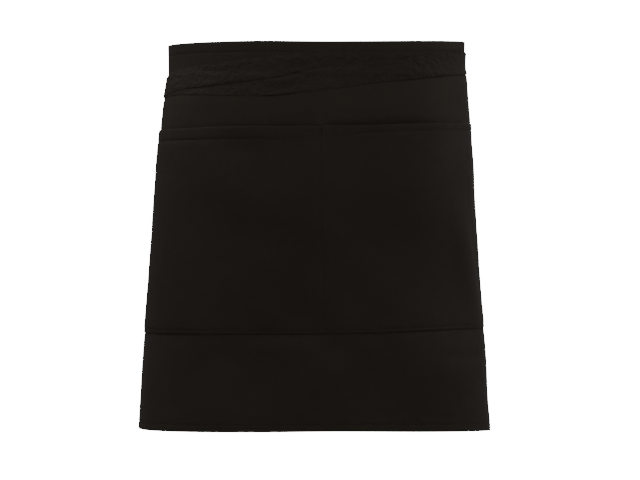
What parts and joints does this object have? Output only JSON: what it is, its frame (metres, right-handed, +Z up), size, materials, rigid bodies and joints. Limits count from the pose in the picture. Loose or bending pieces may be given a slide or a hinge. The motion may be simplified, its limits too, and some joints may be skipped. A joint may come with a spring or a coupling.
{
  "type": "waist apron",
  "caption": "Short black apron wrapped round the waist as worn, with a wide divided front pocket and flat tapes that wrap round and are knotted behind.",
  "frame": {"origin": "middle of the waist hollow at the height of the tapes, where the apron is worn", "axes": "+Z up, the front with the pocket faces -Y, +X at the viewer's right"},
  "size_m": [0.4157, 0.2609, 0.4588],
  "materials": {
    "cloth": "near-black cotton blend twill, matt with a faint sheen at a low angle",
    "tape": "near-black woven tape, matt and a little coarser than the cloth"
  },
  "bodies": {
    "root": {"apron_panel": "cloth", "pocket": "cloth", "tie_left": "tape", "tie_right": "tape", "tie_knot": "tape", "tail_left": "tape", "tail_right": "tape"}
  },
  "joints": []
}
